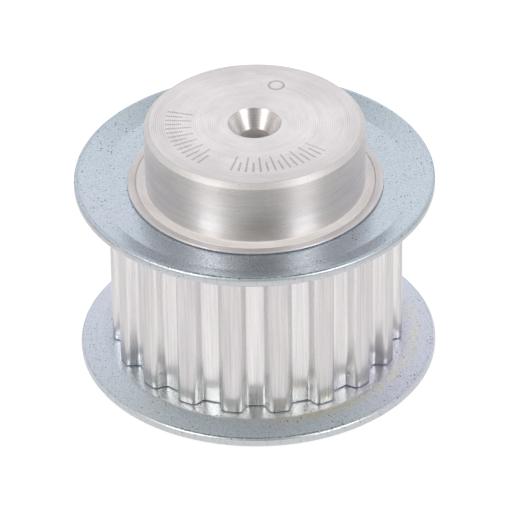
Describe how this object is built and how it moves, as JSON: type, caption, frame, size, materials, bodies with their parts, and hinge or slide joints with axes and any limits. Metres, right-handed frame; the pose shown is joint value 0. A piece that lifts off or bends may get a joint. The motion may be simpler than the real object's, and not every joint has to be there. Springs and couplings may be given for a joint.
{
  "type": "timing belt pulley",
  "caption": "Toothed pulley for a synchronous belt, with a pressed flange on each side of its belt track and a plain hub beyond the upper flange.",
  "frame": {"origin": "on the pulley's axis, in the plane of the end face that it stands on", "axes": "+Z along the bore towards the hub's face; one tooth gap is centred on -Y"},
  "size_m": [0.036, 0.036, 0.027],
  "materials": {
    "turned_aluminium": "fine-turned and hobbed, bare",
    "zinc_plated_steel": "bright zinc plate with a blue passivation"
  },
  "bodies": {
    "root": {"pulley_body": "turned_aluminium", "hub_side_flange": "zinc_plated_steel", "end_side_flange": "zinc_plated_steel"}
  },
  "joints": []
}
